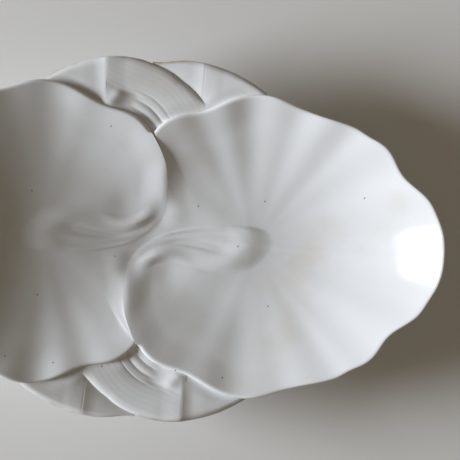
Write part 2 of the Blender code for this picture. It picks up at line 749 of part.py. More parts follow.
def border_ribbons():
    """The ribbons of the back border, by name."""
    tail_length = (1.0 - FOLD) * BORDER_HALF_LENGTH
    start = tuck_start()
    tuck_length = (FOLD - start) * BORDER_HALF_LENGTH
    wrap_corner = bisect(lambda along: wrap_edge(along) == 0.0, FOLD, 1.0)
    half_joint = SEAM_GAP / 2.0

    def tail(s, t, point):
        lift = to_fold((1.0 - s) * tail_length, TAIL_LIFT) * fold_share(point)
        back = crown(t, point) * smooth_step((1.0 - s) / CROWN_FADE)
        return back + lift - rim_fall(point)

    def wrap(s, t, point):
        bearing, offset = lobe_polar(point)
        edge = roll(wrap_offset(bearing) - offset, WRAP_ROLL, wrap_step(point))
        lift = past_fold(right_of_fold(point), TAIL_LIFT) * fold_share(point)
        return crown(t, point) * smooth_step(s / CROWN_FADE) + lift - max(edge, rim_fall(point))

    def reed(s, t, point):
        return reeds(s, t) + past_fold(right_of_fold(point), TAIL_LIFT) * fold_share(point)

    def tuck(s, t, point):
        lift = to_fold((1.0 - s) * tuck_length, TUCK_LIFT) * fold_share(point)
        return lift - max(tucked(point), rim_fall(point))

    def end(s, t, point):
        lift = past_fold(s * tail_length, TUCK_LIFT) * fold_share(point)
        back = crown(t, point) * smooth_step(s / CROWN_FADE)
        return back + lift - max(tucked(point), rim_fall(point))

    tail_plan = border_patch(12, -1.0, -FOLD, lambda along: 0.0)
    wrap_plan = lobe_patch(REED_WIDTH + half_joint, wrap_limit)
    reed_plan = lobe_patch(SEAM_GAP, lambda bearing: REED_WIDTH - half_joint)
    tuck_plan = border_patch(10, start, FOLD, wrap_edge)
    end_plan = border_patch(12, FOLD, 1.0, wrap_edge, wrap_corner)
    return {
        "border_tail": ribbon_solid(12, 6, tail_plan, tail, TAIL_DROP),
        "border_wrap": ribbon_solid(16, 6, wrap_plan, wrap),
        "border_reed": ribbon_solid(14, REED_ROWS * REED_COUNT, reed_plan, reed, even_rows=True),
        "border_tuck": ribbon_solid(10, 6, tuck_plan, tuck),
        "border_end": ribbon_solid(12, 6, end_plan, end),
    }


# Foot

def foot_solid():
    """An oval ring: a torus whose section becomes a tapered wall with a flat tread."""
    tube = 0.25
    bpy.ops.mesh.primitive_torus_add(
        major_segments=FOOT_COLUMNS, minor_segments=8, major_radius=1.0, minor_radius=tube
    )
    torus = bpy.context.object
    bm = bmesh.new()
    bm.from_mesh(torus.data)
    bpy.data.meshes.remove(torus.data)
    for vertex in bm.verts:
        around = math.atan2(vertex.co.y, vertex.co.x)
        outward = (math.hypot(vertex.co.x, vertex.co.y) - 1.0) / tube
        level = 0.5 + 0.5 * min(max(FOOT_SQUARENESS * vertex.co.z / tube, -1.0), 1.0)
        width = FOOT_TREAD + (FOOT_WALL - FOOT_TREAD) * min(1.0, 2.0 * level)
        offset = width / 2.0 * min(max(FOOT_SQUARENESS * outward, -1.0), 1.0)
        x = (FOOT_HALF_LENGTH + offset) * math.cos(around)
        y = (FOOT_HALF_WIDTH + offset) * math.sin(around)
        vertex.co = (x, y, level * (clear_height(x, y) - FOOT_JOINT))
    return bm


def main():
    for obj in list(bpy.data.objects):
        bpy.data.objects.remove(obj)
    parts = bpy.data.collections.new("appetizer_dish")
    bpy.context.scene.collection.children.link(parts)
    glaze = ceramic("white_glaze", GLAZE_COLOUR, 0.14)
    bare_clay = ceramic("bare_clay", BARE_CLAY_COLOUR, 0.55)

    pairs = {("leaf_right", "leaf_left"): leaf_solid(), ("stem_right", "stem_left"): stem_solid()}
    for name, ribbon in border_ribbons().items():
        pairs["back_" + name, "front_" + name] = ribbon
    for (name, turned_name), solid in pairs.items():
        mesh = mesh_from(name, solid)
        place(name, mesh, glaze, parts)
        place(turned_name, mesh, glaze, parts, turned=True)
    place("foot_ring", mesh_from("foot_ring", foot_solid()), bare_clay, parts)


main()
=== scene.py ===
"""Looks of the twin-leaf appetizer dish: one finely modelled, glazed piece for each solid of the frame.

Lengths are in metres and angles in degrees, in the frame of the solids: +Z is up, the long axis is X, and
the dish stands on z = 0. The right leaf, the right stem and the back border are modelled, and a half turn
about Z gives their twins.
"""

import functools
import json
import math

import bmesh
import bpy
from mathutils import Matrix, Vector, noise
from mathutils.geometry import interpolate_bezier

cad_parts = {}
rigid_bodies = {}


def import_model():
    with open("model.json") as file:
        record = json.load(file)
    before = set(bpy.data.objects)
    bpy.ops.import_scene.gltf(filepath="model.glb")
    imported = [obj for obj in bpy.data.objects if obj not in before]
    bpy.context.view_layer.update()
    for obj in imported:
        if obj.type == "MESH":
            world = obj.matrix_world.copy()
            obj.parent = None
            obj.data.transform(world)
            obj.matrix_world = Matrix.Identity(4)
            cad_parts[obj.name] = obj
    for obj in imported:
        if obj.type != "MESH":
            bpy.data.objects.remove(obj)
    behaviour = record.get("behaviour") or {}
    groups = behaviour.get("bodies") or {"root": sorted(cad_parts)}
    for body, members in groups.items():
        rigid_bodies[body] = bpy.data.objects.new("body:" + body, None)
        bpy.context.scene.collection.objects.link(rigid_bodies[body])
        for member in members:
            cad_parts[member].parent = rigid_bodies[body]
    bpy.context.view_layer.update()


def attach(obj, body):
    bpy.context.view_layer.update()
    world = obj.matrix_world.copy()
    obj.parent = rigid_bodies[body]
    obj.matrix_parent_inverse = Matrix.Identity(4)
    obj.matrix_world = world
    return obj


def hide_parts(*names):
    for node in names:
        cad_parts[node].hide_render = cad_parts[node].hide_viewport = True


# The leaves in plan, as in the solids, with finer scallops
WALL = 0.0045
LIP = 0.0018  # radius of the rounded edges
LIP_SHARP = 0.01  # share of that where an edge is left sharp
LIP_FADE = 2.0  # bearings over which an edge sharpens where it goes under the other leaf
JOINT = 0.00002  # line between two pieces
LAP = 0.0013  # how far a ribbon runs on under what covers it
PETIOLE_OFFSET = 0.0436  # from the centre of the dish to the point that a leaf is drawn about
LEAF_RADIUS = 0.0593
TIP_REACH = 0.0141  # how much further the tip reaches
TIP_SPREAD = 24.5  # bearings over which that falls off
SCALLOP_DEPTH = 0.0013
SCALLOP_PITCH = 43.0
SCALLOP_SHIFT = 5.5  # rounds the scallop at the tip
WAVE_DEPTH = 0.0008  # of the scallops beside a leaf's tip
WAVE_CREST = 18.0
WAVE_START = 8.0
WAVE_END = 56.0
WAVE_FADE = 12.0
SHOULDER = 0.0013  # how much fuller the leaf is on one side of its tip
SHOULDER_FULL = 14.0
SHOULDER_END = 66.0
SHOULDER_FADE = 26.0
LOBE_SWELL = 0.0015  # bulge of a lobe beside the border
LOBE_SWELL_BEARING = 127.0
LOBE_SWELL_SPREAD = 8.0
SINUS_START = 147.0  # bearing where the notch between the lobes starts
SINUS_CURVE = 1.5

# Heights of the leaves
FOOT_HEIGHT = 0.0065
WELL_FLOOR = FOOT_HEIGHT + WALL
CREST_HEIGHT = 0.0105  # of the leaves' edges at the centre of the dish
SIDE_HEIGHT = 0.0300  # of the edges at the long sides
TIP_HEIGHT = 0.0419  # of the edges at the tips, before they are rounded
RIM_CURVE = 1.25
BOWL_CURVE = 2.4  # the larger, the later a leaf climbs to its edge
SINUS_BOWL_CURVE = 1.5
SINUS_BOWL_START = 110.0
SINUS_BOWL_FULL = 160.0
WELL_TILT = 0.03  # slope of the well's floor
DIP = 0.0022  # how much lower a leaf lies at the centre of the dish
DIP_START = 0.0100
DIP_LENGTH = 0.0340
DIP_WIDTH = 0.0180
DIP_FADE = 0.0200
FLUTE_DEPTH = 0.0006
FLUTE_CALM = 0.45  # share of the depth on the calmer side
FLUTE_PITCH = 21.0
FLUTE_FADE = 116.0  # bearing from which the flutes fade
FLUTE_END = 146.0

# Seam, where a lobe of one leaf lies over the other leaf
OVERLAP_START = 0.0085  # distance from the X axis
SEAM_RISE = 0.0009  # ridge of the upper leaf
SEAM_GROWTH = 0.40  # this and the next two are shares of the way from there to the apex
SEAM_END = 0.85
SEAM_DECAY = 0.35
SEAM_REACH = 5.0  # the larger, the closer to the seam the lower leaf bends up
SEAM_CORNER_SPREAD = 11.0  # bearings past the apex over which that bend grows
SEAM_ROLL = 0.0004  # fall of the ridge's rounded edge
SEAM_ROLL_WIDTH = 0.0028
SEAM_FILLET = 0.0013  # rise of the lower leaf against the ridge
SEAM_FILLET_WIDTH = 0.0105
LOBE_RISE = 0.0008  # turned-up edge of a lobe
LOBE_RISE_WIDTH = 0.0128
LOBE_RISE_START = 70.0  # bearings between which it grows
LOBE_RISE_FULL = 100.0
LOBE_RISE_FROM = 0.0045  # distances from the X axis between which it grows
LOBE_RISE_TO = 0.0110

# Stems, which turn into straps where they cross
STEM_END_REACH = 0.0090  # broad end of a stem past the petiole point
STEM_OFFSET = 0.0014
STEM_LEAD = 0.0264  # how far the stem's line runs straight on from there
STEM_TURN = (0.0070, 0.0076)  # the line bends towards this point
STEM_TIP = (-0.0069, -0.0106)
STEM_BROAD_WIDTH = 0.0250
STEM_TIP_WIDTH = 0.0040
STEM_TAPER = 1.9
STEM_ROUND = 0.42  # share of the length that the rounding of the broad end takes
STEM_END_SHARE = 0.28  # share of the width that is left at that end
STEM_EDGE = 0.0004  # thickness where a stem runs out
STEM_HEIGHT = 0.0005
STEM_SWELL = 0.0006  # how much higher the broad end is
STEM_SWELL_WIDTH = 0.0090
STEM_RIDGES = (0.21, 0.54, 1.05)  # places of the ridges, as shares of the width
STEM_HOLLOWS = (0.35, 0.80)  # places of the hollows between them
STEM_SCOOP = 0.0008  # depth of the second hollow
STEM_SCOOP_SHARE = 0.5  # share of that in the first
STEM_SCOOP_FADE = 0.0160
STEM_TOE = (0.08, 0.2)  # place and height of the upper side's toe, as shares
STEM_FOOT = 0.0045  # width over which the upper side runs out
STEM_SKIRT = 0.0080  # and the lower side
STEM_FALL = 0.0110  # length over which the broad end runs out
STEM_END_CURVE = 0.0040
STRAP_START = 0.46  # shares of the length between which the stem turns into a strap
STRAP_FULL = 0.80
STRAP_RUN_OUT = 0.22  # share of the length over which its end runs out
STRAP_PLACES = (0.45, 0.80, 1.45)  # places of rib, groove and lip, as shares of the width
STRAP_RIDGE = 0.00032
STRAP_GROOVE = 0.00006
STRAP_LIP = 0.0017
STRAP_LIP_SLOPE = 0.0040

# Border
BORDER_SPAN = 91.4  # bearing of the border's ends about the petiole points
BORDER_BULGE = 0.0114  # of the long side past the border's ends
BORDER_CURVE = 2.8
BORDER_TIP_WIDTH = 0.0008
BORDER_DIP = 0.0019  # dip of the long side in its middle
BORDER_DIP_WIDTH = 0.0090
BORDER_DROP = 0.0010  # how much lower the ribbons lie than the leaves' edges
RIM_ROLL = 0.0032
RIM_FALL = 0.0020
RIM_EDGE = 0.0010  # thickness that is left at the rim
RIBBON_CROWN = 0.0005
CROWN_CURVE = 2.6
CROWN_CALM = 0.005  # distance from the leaves over which the crown grows
CROWN_GROWTH = 0.3  # share of a ribbon's length over which it grows past a fold
CROWN_FADE = 0.4  # share over which it fades towards one
FOLD_OFFSET = 0.0197  # from the border's middle to each fold
TAIL_LIFT = 0.0007  # height of the first fold
TAIL_DROP = 0.0030  # how much lower the ribbon that ends there starts
TUCK_LIFT = 0.0006  # height of the second fold
FOLD_RAMP = 0.0056  # length over which a ribbon rises to its fold
FOLD_FALL = 0.0085  # length over which the next ribbon falls away from it
FOLD_DIVE = 0.4  # slope of that ribbon under the fold
FOLD_SHARE = 0.3  # share of a fold's height beside the leaves
FOLD_SHARE_WIDTH = 0.0100
FOLD_ROLL = 0.0012
FOLD_EDGE = 0.00014
REED_WIDTH = 0.0095
REED_COUNT = 3
REED_DEPTH = 0.0004
REED_LEVEL = 0.6  # share of a reed's height that lies under the ribbon's own surface
REED_START = 0.42  # share of the ribbon's length where the reeds start
REED_GROWTH = 0.15
REED_BUMP = 0.0008  # rise at the fold
REED_BUMP_PLACE = 0.10
REED_BUMP_SKEW = 0.2
REED_BUMP_LENGTH = 0.10
REED_BUMP_SIDES = (0.3, 0.4)  # shares of the width over which the bump grows and fades
REED_HOLLOW = 0.0003  # hollow past the bump
REED_HOLLOW_PLACE = 0.44
REED_HOLLOW_LENGTH = 0.13
REED_DROP = 0.0003
REED_DROP_GROWTH = 0.2
REED_GROOVE = 0.0003  # how much lower the ribbon lies along the leaf
REED_SIDE = 0.2  # share of the width over which that fades, and the drop at the other side
WRAP_OFFSET = 0.0221  # left leaf to the outer edge of the wrapped ribbon
WRAP_BEARING = 50.0
WRAP_SPREAD = 0.00030
WRAP_ROLL = 0.0034
WRAP_STEP = 0.0012  # height of that edge
WRAP_STEP_REACH = 0.0035
WRAP_STEP_FADE = 0.0060

# Foot ring
FOOT_HALF_LENGTH = 0.0640
FOOT_HALF_WIDTH = 0.0320
FOOT_WALL = 0.0060
FOOT_TREAD = 0.0036
FOOT_SQUARENESS = 1.25  # 1 is a round section

# Finer relief that the solids leave out
CHANNEL_BEARING = 62.9  # the channel in which the straps cross
CHANNEL_DEPTH = 0.0003
CHANNEL_END_DEPTH = 0.0012
CHANNEL_WIDTH = 0.0045
CHANNEL_LENGTH = 0.0130
CHANNEL_FADE = 0.0045
HOLLOW_PLACE = (0.0093, -0.0130)  # where a lobe dips beside its strap
HOLLOW_DEPTH = 0.0009
HOLLOW_RADIUS = 0.0065
GLAZE_FILLET = 0.0002  # rise of the glaze pooled against a leaf's edge
GLAZE_FILLET_WIDTH = 0.0012
STREAK_DEPTH = 0.000008
STREAK_PITCH = 0.0021
MIDRIB_HEIGHT = 0.00022
MIDRIB_WIDTH = 0.0011
MIDRIB_GROWTH = 0.012
MIDRIB_FULL = 0.040
MIDRIB_FADE = 0.030
WAVINESS = 0.00016  # unevenness left by hand finishing
WAVINESS_SIZE = 0.024
WAVINESS_FINER = 2.3  # how many times finer its second layer is
WAVINESS_SECOND = 0.35  # height of that layer, as a share
WAVINESS_FADE = 0.006

# Colours and gloss
WHITE = (1.0, 1.0, 1.0)
BLACK = (0.0, 0.0, 0.0)
GLAZE_WARM = (0.775, 0.780, 0.785)
GLAZE_COOL = (0.805, 0.820, 0.835)
STAIN_COLOUR = (0.93, 0.89, 0.83)
PIT_COLOUR = (0.20, 0.15, 0.11)
PIT_CELLS = 42.0  # to the metre, each with one pit at most
# Browns of the line along the rim: partly worn glaze, partly painted shade of the rolled rim
RIM_WEAR_AND_SHADE_DARK = (0.40, 0.32, 0.23)
RIM_WEAR_AND_SHADE_LIGHT = (0.62, 0.55, 0.46)
RIM_WEAR_AND_SHADE_WIDTH = 0.0018  # width of the brown line along the rim, partly worn glaze and partly painted shade of the rolled rim
CLAY_DARK = (0.62, 0.57, 0.50)
CLAY_LIGHT = (0.76, 0.73, 0.67)
GLOSS_LOW = (0.10, 0.10, 0.10)
GLOSS_HIGH = (0.15, 0.15, 0.15)
BARE_GLOSS = (0.75, 0.75, 0.75)
TREAD_BARE_FROM = 0.0008
TREAD_BARE_TO = 0.0016
GLAZE_IOR = 1.5
THICKNESS_NOISE = (38.0, 3.0)  # scale and detail
BLOTCH_NOISE = (24.0, 5.0)
PATCH_NOISE = (42.0, 4.0)
# Grain of the brown rim line, which is partly worn glaze and partly painted shade
RIM_WEAR_AND_SHADE_NOISE = (400.0, 3.0)
GLOSS_NOISE = (160.0, 2.0)
RIPPLE_NOISE = (130.0, 2.0)
CLAY_NOISE = (900.0, 4.0)
RIPPLE_BUMP = (0.25, 0.0002)  # strength and distance
CLAY_BUMP = (0.3, 0.0001)

# Mesh density
LEAF_COLUMNS = 300
LEAF_TOP_RINGS = 56
LEAF_TOP_CROWDING = 1.35  # how far the rings crowd towards the edge
LEAF_UNDER_RINGS = 20
LEAF_UNDER_CROWDING = 1.2
LIP_RINGS = 8
STEM_COLUMNS = 130
STEM_ROWS = 120
TAIL_GRID = (60, 40)  # columns and rows of the ribbons
WRAP_GRID = (90, 44)
REED_GRID = (70, 64)
TUCK_GRID = (70, 36)
END_GRID = (70, 40)
FOOT_COLUMNS = 160
FOOT_ROWS = 24
SMOOTH_ANGLE = 40.0

# Stage
FLOOR_HALF_SIZE = 1.5
FLOOR_COLOUR = (0.83, 0.82, 0.80)
FLOOR_ROUGHNESS = 0.9
FLOOR_SPECULAR = 0.1
ROOM_COLOUR = (0.150, 0.127, 0.094)
SENSOR_WIDTH = 36.0
LENS = 104.6
CAMERA_PLACE = (0.0341, 0.0060, 0.560)
CAMERA_TURN = 4.1


def smooth_step(value):
    """Soft climb from 0 to 1 as the value goes from 0 to 1."""
    share = min(max(value, 0.0), 1.0)
    return share * share * (3.0 - 2.0 * share)


def roll(inset, width, height):
    """Fall of a rolled edge at this distance in from it."""
    share = min(max(inset / width, 0.0), 1.0)
    return height * (1.0 - math.sqrt(1.0 - (1.0 - share) ** 2))


def through(points, at):
    """Height at this place of a soft line through (place, height) points in order."""
    for (near, low), (far, high) in zip(points, points[1:]):
        if at <= far:
            return low + (high - low) * smooth_step((at - near) / (far - near))
    return points[-1][1]


def bisect(is_past, low, high):
    """The value between low and high where is_past turns from false to true."""
    for _ in range(30):
        middle = (low + high) / 2.0
        if is_past(middle):
            high = middle
        else:
            low = middle
    return low


# Leaf plan

def edge_wave(away):
    """Scallops where the flutes beside the tip meet the edge."""
    window = smooth_step((away - WAVE_START) / WAVE_FADE) * smooth_step((WAVE_END - away) / WAVE_FADE)
    return WAVE_DEPTH * window * math.cos(2.0 * math.pi * (away - WAVE_CREST) / FLUTE_PITCH)


def shoulder(bearing):
    """The leaf is fuller on one side of its tip."""
    fade = smooth_step((SHOULDER_END - bearing) / SHOULDER_FADE)
    return SHOULDER * smooth_step(bearing / SHOULDER_FULL) * fade


def leaf_reach(bearing):
    """Distance from the petiole point to the leaf's own outline; bearing 0 points to the tip."""
    away = abs(bearing)
    tip = TIP_REACH * math.exp(-0.5 * (away / TIP_SPREAD) ** 2)
    turns = (math.hypot(away, SCALLOP_SHIFT) - SCALLOP_SHIFT) / SCALLOP_PITCH
    reach = LEAF_RADIUS + tip + SCALLOP_DEPTH * math.cos(2.0 * math.pi * turns)
    reach += LOBE_SWELL * math.exp(-(((away - LOBE_SWELL_BEARING) / LOBE_SWELL_SPREAD) ** 2))
    reach += edge_wave(away) + shoulder(bearing)
    sinus = max(0.0, away - SINUS_START) / (180.0 - SINUS_START)
    seam = PETIOLE_OFFSET - JOINT / 2.0
    return reach + (seam - reach) * sinus ** SINUS_CURVE


def from_petiole(bearing, radius):
    """The point of the right leaf at this bearing and distance from its petiole point."""
    angle = math.radians(bearing)
    return PETIOLE_OFFSET + radius * math.cos(angle), radius * math.sin(angle)


def polar(x, y):
    """(bearing, distance) of a plan point from the right leaf's petiole point."""
    along = x - PETIOLE_OFFSET
    return math.degrees(math.atan2(y, along)), math.hypot(along, y)


def in_right_leaf(x, y, margin=0.0):
    """True for a plan point inside the right leaf's own outline, or less than margin outside it."""
    bearing, radius = polar(x, y)
    return radius < leaf_reach(bearing) + margin


def in_left_leaf(x, y, margin=0.0):
    """The same for the left leaf."""
    return in_right_leaf(-x, -y, margin)


def under_left_leaf(bearing):
    """True where the left leaf's lobe lies over the edge of the right leaf."""
    return bearing > 0.0 and in_left_leaf(*from_petiole(bearing, leaf_reach(bearing)), JOINT)


@functools.cache
def visible_reach(bearing):
    """The right leaf's outline, cut back where the left leaf's lobe lies over it."""
    if not under_left_leaf(bearing):
        return leaf_reach(bearing)
    return bisect(
        lambda radius: in_left_leaf(*from_petiole(bearing, radius), JOINT), 0.0, leaf_reach(bearing)
    )


def apex_bearing():
    """Bearing, from the line between the petioles, of the point where the two outlines cross."""
    return bisect(
        lambda bearing: (leaf_reach(180.0 - bearing) + JOINT) * math.cos(math.radians(bearing))
        < PETIOLE_OFFSET,
        1.0,
        90.0,
    )


def column_bearing(bearing):
    """Moves an evenly spaced bearing to where a column of the mesh goes.

    A column meets the corner where the right leaf goes under the left one, and those past it are evenly
    spaced along the left leaf's lobe.
    """
    if abs(bearing - COVERED_FROM) < 180.0 / LEAF_COLUMNS:
        return COVERED_FROM
    if bearing < COVERED_FROM:
        return bearing
    corner_x, corner_y = from_petiole(COVERED_FROM, leaf_reach(COVERED_FROM))
    first = -polar(-corner_x, -corner_y)[0]
    lobe = 180.0 - (180.0 - first) * (180.0 - bearing) / (180.0 - COVERED_FROM)
    lobe_x, lobe_y = from_petiole(-lobe, leaf_reach(lobe) + JOINT)
    return polar(-lobe_x, -lobe_y)[0]


# Border plan

def lobe_point(bearing, offset):
    """Plan point this far outside the left leaf's edge, at a bearing from +X about its petiole point."""
    reach = leaf_reach(180.0 - bearing) + offset
    angle = math.radians(bearing)
    return Vector((reach * math.cos(angle) - PETIOLE_OFFSET, reach * math.sin(angle)))


def lobe_polar(point):
    """(bearing, distance outside the left leaf's edge) of a plan point."""
    bearing, radius = polar(-point.x, -point.y)
    return bearing % 360.0 - 180.0, radius - leaf_reach(bearing)


def border_inner(along):
    """Plan point on the leaf edges; along runs from -1 to 1, and 0 is where the leaves meet."""
    bearing = APEX_BEARING + abs(along) * (BORDER_SPAN - APEX_BEARING)
    point = lobe_point(bearing, -LAP * (1.0 - abs(along)))
    return Vector((-point.x, point.y)) if along > 0.0 else point


def border_outer(along):
    """Plan point on the dish's long side."""
    x = BORDER_HALF_LENGTH * along
    bulge = BORDER_BULGE * (1.0 - abs(along) ** BORDER_CURVE)
    return Vector((x, BORDER_END_Y + bulge - BORDER_DIP * math.exp(-((x / BORDER_DIP_WIDTH) ** 2))))


def border_point(along, across):
    """Plan point between the two, at this share of the border's width."""
    return border_inner(along).lerp(border_outer(along), across)


def rim_inset(point):
    """How far a plan point lies inside the dish's long side, measured along Y."""
    return border_outer(point.x / BORDER_HALF_LENGTH).y - point.y


def wrap_offset(bearing):
    """Left leaf to the outer edge of the wrapped ribbon."""
    return WRAP_OFFSET + WRAP_SPREAD * max(0.0, WRAP_BEARING - bearing)


@functools.cache
def wrap_limit(bearing):
    """The same, or the distance to the rim where that is nearer."""
    to_rim = bisect(lambda offset: rim_inset(lobe_point(bearing, offset)) < 0.0, 0.0, 2.0 * WRAP_OFFSET)
    return min(to_rim, wrap_offset(bearing) - JOINT / 2.0)


@functools.cache
def wrap_edge(along):
    """Share of the border's width that lies inside the wrapped ribbon's outer edge."""
    def past_wrap(across):
        bearing, offset = lobe_polar(border_point(along, across))
        return offset > wrap_offset(bearing)

    return 0.0 if past_wrap(0.0) else bisect(past_wrap, 0.0, 1.0)


def right_of_fold(point):
    """Distance of a plan point to the right of the line on which the tail's fold ends."""
    foot = border_inner(-FOLD)
    up = (border_outer(-FOLD) - foot).normalized()
    return (point - foot).dot(Vector((up.y, -up.x)))


def leaf_distance(point):
    """How far a plan point lies outside the nearer leaf."""
    bearing, radius = polar(point.x, point.y)
    return max(0.0, min(lobe_polar(point)[1], radius - leaf_reach(bearing)))


# Places that follow from the outlines
COVERED_FROM = bisect(under_left_leaf, 90.0, 179.0)
APEX_BEARING = apex_bearing()
APEX_DISTANCE = PETIOLE_OFFSET * math.tan(math.radians(APEX_BEARING))
BORDER_HALF_LENGTH = -lobe_point(BORDER_SPAN, JOINT).x
BORDER_END_Y = lobe_point(BORDER_SPAN, JOINT).y + BORDER_TIP_WIDTH
FOLD = FOLD_OFFSET / BORDER_HALF_LENGTH
HALF_LENGTH = PETIOLE_OFFSET + leaf_reach(0.0)
HALF_WIDTH = BORDER_END_Y + BORDER_BULGE


# Stem plan

def stem_line(count):
    """Centre line of the right stem, from its broad end to its tip, as plan points."""
    broad_end = Vector((PETIOLE_OFFSET + STEM_END_REACH, STEM_OFFSET, 0.0))
    lead = broad_end - Vector((STEM_LEAD, 0.0, 0.0))
    turn = Vector((*STEM_TURN, 0.0))
    tip = Vector((*STEM_TIP, 0.0))
    return [point.to_2d() for point in interpolate_bezier(broad_end, lead, turn, tip, count)]


def stem_width(s):
    """Width along the stem: a rounded broad end that tapers to the tip."""
    end = 1.0 - roll(s, STEM_ROUND, 1.0 - STEM_END_SHARE)
    return end * (STEM_TIP_WIDTH + (STEM_BROAD_WIDTH - STEM_TIP_WIDTH) * (1.0 - s) ** STEM_TAPER)


def strap_share(s):
    """0 where the stem is broad and fluted, 1 where it is a strap."""
    return smooth_step((s - STRAP_START) / (STRAP_FULL - STRAP_START))


# Heights

def rim_height(x, y):
    """Height of the leaf edges over a point of the plan: low at the centre, highest at the tips."""
    lengthwise = min((x / HALF_LENGTH) ** 2, 1.0)
    spread = math.sqrt(lengthwise + (y / HALF_WIDTH) ** 2)
    outer = SIDE_HEIGHT + (TIP_HEIGHT - SIDE_HEIGHT) * lengthwise
    return CREST_HEIGHT + (outer - CREST_HEIGHT) * spread ** RIM_CURVE


def from_overlap(y):
    """Share of the way from the start of the leaves' overlap to the apex."""
    return min(max((abs(y) - OVERLAP_START) / (APEX_DISTANCE - OVERLAP_START), 0.0), 1.0)


@functools.cache
def edge_height(bearing):
    """Height of the right leaf's own edge, hidden or not."""
    return rim_height(*from_petiole(bearing, leaf_reach(bearing)))


def flute(bearing, share):
    """Waves that run from the petiole point to the edge."""
    fade = 1.0 - smooth_step((abs(bearing) - FLUTE_FADE) / (FLUTE_END - FLUTE_FADE))
    calm = FLUTE_CALM + (1.0 - FLUTE_CALM) * smooth_step(bearing / FLUTE_PITCH + 0.5)
    return FLUTE_DEPTH * calm * share ** 3 * fade * math.cos(2.0 * math.pi * bearing / FLUTE_PITCH)


def lobe_start(y):
    """Share of a lobe's turned-up edge that is there, growing away from the stems."""
    return smooth_step((abs(y) - LOBE_RISE_FROM) / (LOBE_RISE_TO - LOBE_RISE_FROM))


def lobe_rise(bearing, inset):
    """The turned-up edge of a lobe, from the side of the leaf to the overlap's start."""
    if under_left_leaf(bearing):
        return 0.0
    edge_y = from_petiole(bearing, leaf_reach(bearing))[1]
    fade = smooth_step((abs(bearing) - LOBE_RISE_START) / (LOBE_RISE_FULL - LOBE_RISE_START))
    height = LOBE_RISE * fade * lobe_start(edge_y)
    fall = 0.0
    if bearing < -COVERED_FROM:
        height += SEAM_RISE * seam_step(edge_y)
        fall = SEAM_ROLL * seam_step(edge_y) * max(0.0, 1.0 - inset / SEAM_ROLL_WIDTH) ** 2
    return height * smooth_step(1.0 - inset / LOBE_RISE_WIDTH) - fall


def bowl_curve(bearing):
    """How a leaf climbs to its edge: late at the tip and sides, evenly towards the stem."""
    share = smooth_step((abs(bearing) - SINUS_BOWL_START) / (SINUS_BOWL_FULL - SINUS_BOWL_START))
    return BOWL_CURVE + (SINUS_BOWL_CURVE - BOWL_CURVE) * share


@functools.cache
def seam_step(y):
    """Share of the full ridge at the seam: none beside the stems, nor where the outlines cross."""
    along = from_overlap(y)
    return smooth_step(along / SEAM_GROWTH) * smooth_step((SEAM_END - along) / SEAM_DECAY)


@functools.cache
def seam_lift(bearing):
    """How far the covered right leaf is bent up to meet the left leaf's lobe."""
    seam = visible_reach(bearing)
    x, y = from_petiole(bearing, seam)
    return rim_height(x, y) - middle_dip(-x, -y) - bowl_height(bearing, seam)


def seam_relief(bearing, radius):
    """Bend, edge and fillet of the covered right leaf along the seam."""
    seam = visible_reach(bearing)
    y = from_petiole(bearing, seam)[1]
    rise = LOBE_RISE * lobe_start(y) * smooth_step(1.0 - (seam - radius) / LOBE_RISE_WIDTH)
    fillet = SEAM_FILLET * seam_step(y) * max(0.0, 1.0 - (seam - radius) / SEAM_FILLET_WIDTH) ** 2
    past_corner = smooth_step((bearing - COVERED_FROM) / SEAM_CORNER_SPREAD)
    bend = past_corner * seam_lift(bearing) * (radius / seam) ** SEAM_REACH
    return bend + (1.0 - seam_step(y)) * rise + fillet


def middle_dip(x, y):
    """How much lower the right leaf lies towards the centre of the dish."""
    along = 1.0 - smooth_step((x - DIP_START) / DIP_LENGTH)
    across = 1.0 - smooth_step((abs(y) - DIP_WIDTH) / DIP_FADE)
    return DIP * along * across


def bowl_height(bearing, radius):
    """Height of the right leaf's bowl without its finer relief."""
    share = radius / leaf_reach(bearing)
    rise = edge_height(bearing) - WELL_FLOOR
    tilt = WELL_TILT * radius * math.cos(math.radians(bearing)) * (1.0 - share) ** 2
    dip = middle_dip(*from_petiole(bearing, radius))
    return WELL_FLOOR + rise * share ** bowl_curve(bearing) - tilt - dip


def pooled(distance):
    """Rise of the glaze against a taller edge at this distance."""
    return GLAZE_FILLET * max(0.0, 1.0 - distance / GLAZE_FILLET_WIDTH) ** 2


def midrib(bearing, radius):
    """A faint rib from the stem's end to the tip."""
    x, y = radius * math.cos(math.radians(bearing)), radius * math.sin(math.radians(bearing))
    along = smooth_step(x / MIDRIB_GROWTH) * (1.0 - smooth_step((x - MIDRIB_FULL) / MIDRIB_FADE))
    return MIDRIB_HEIGHT * along * math.exp(-((y / MIDRIB_WIDTH) ** 2))


def uneven(x, y):
    """Slight waves left by hand finishing."""
    place = Vector((x, y, 0.0)) / WAVINESS_SIZE
    return WAVINESS * (noise.noise(place) + WAVINESS_SECOND * noise.noise(WAVINESS_FINER * place))


def channel(x, y):
    """Depth of the channel between the lobes in which the straps cross, deepest at its two ends."""
    angle = math.radians(CHANNEL_BEARING)
    along = abs(x * math.cos(angle) + y * math.sin(angle))
    aside = x * math.sin(angle) - y * math.cos(angle)
    depth = CHANNEL_DEPTH * smooth_step((CHANNEL_LENGTH - along) / CHANNEL_FADE)
    depth += CHANNEL_END_DEPTH * math.exp(-(((along - CHANNEL_LENGTH) / CHANNEL_FADE) ** 2))
    return depth * math.exp(-((aside / CHANNEL_WIDTH) ** 2))


def lobe_hollow(x, y):
    """Depth of the shallow dip in each lobe beside its strap."""
    away = min(math.dist((x, y), HOLLOW_PLACE), math.dist((-x, -y), HOLLOW_PLACE))
    return HOLLOW_DEPTH * math.exp(-((away / HOLLOW_RADIUS) ** 2))


